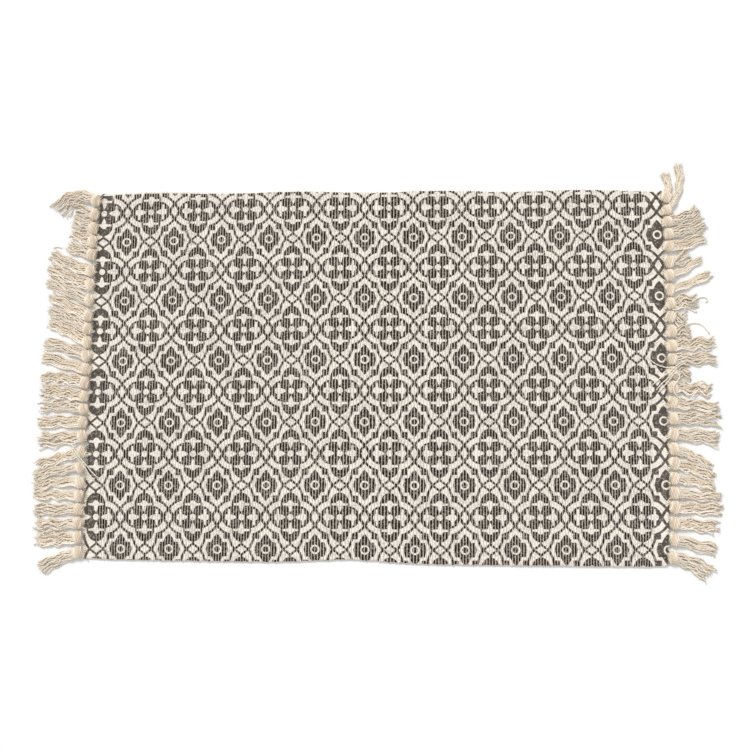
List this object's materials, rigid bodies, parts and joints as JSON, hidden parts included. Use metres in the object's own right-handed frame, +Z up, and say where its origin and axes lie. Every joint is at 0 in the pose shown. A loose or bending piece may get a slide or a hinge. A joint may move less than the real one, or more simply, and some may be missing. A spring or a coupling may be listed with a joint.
{
  "type": "flat-woven cotton rug with knotted fringe",
  "caption": "Small rectangular flat-woven cotton rug with fine weft ribs, a two-tone lattice print and knotted tassels along both short ends.",
  "frame": {"origin": "centre of the cloth's flat underside, on the floor", "axes": "+X along the rug's length, +Y across it, +Z up out of the printed face"},
  "size_m": [1.066, 0.655, 0.0085],
  "materials": {
    "printed_cotton": "matt flat weave, charcoal print on cream cotton",
    "natural_yarn": "matt undyed cotton yarn"
  },
  "bodies": {
    "root": {"cloth": "printed_cotton", "tassel_left_01": "natural_yarn", "tassel_left_02": "natural_yarn", "tassel_left_03": "natural_yarn", "tassel_left_04": "natural_yarn", "tassel_left_05": "natural_yarn", "tassel_left_06": "natural_yarn", "tassel_left_07": "natural_yarn", "tassel_left_08": "natural_yarn", "tassel_left_09": "natural_yarn", "tassel_left_10": "natural_yarn", "tassel_left_11": "natural_yarn", "tassel_left_12": "natural_yarn", "tassel_left_13": "natural_yarn", "tassel_left_14": "natural_yarn", "tassel_left_15": "natural_yarn", "tassel_left_16": "natural_yarn", "tassel_left_17": "natural_yarn", "tassel_left_18": "natural_yarn", "tassel_left_19": "natural_yarn", "tassel_left_20": "natural_yarn", "tassel_left_21": "natural_yarn", "tassel_left_22": "natural_yarn", "tassel_left_23": "natural_yarn", "tassel_left_24": "natural_yarn", "tassel_left_25": "natural_yarn", "tassel_left_26": "natural_yarn", "tassel_right_01": "natural_yarn", "tassel_right_02": "natural_yarn", "tassel_right_03": "natural_yarn", "tassel_right_04": "natural_yarn", "tassel_right_05": "natural_yarn", "tassel_right_06": "natural_yarn", "tassel_right_07": "natural_yarn", "tassel_right_08": "natural_yarn", "tassel_right_09": "natural_yarn", "tassel_right_10": "natural_yarn", "tassel_right_11": "natural_yarn", "tassel_right_12": "natural_yarn", "tassel_right_13": "natural_yarn", "tassel_right_14": "natural_yarn", "tassel_right_15": "natural_yarn", "tassel_right_16": "natural_yarn", "tassel_right_17": "natural_yarn", "tassel_right_18": "natural_yarn", "tassel_right_19": "natural_yarn", "tassel_right_20": "natural_yarn", "tassel_right_21": "natural_yarn", "tassel_right_22": "natural_yarn", "tassel_right_23": "natural_yarn", "tassel_right_24": "natural_yarn", "tassel_right_25": "natural_yarn", "tassel_right_26": "natural_yarn"}
  },
  "joints": []
}
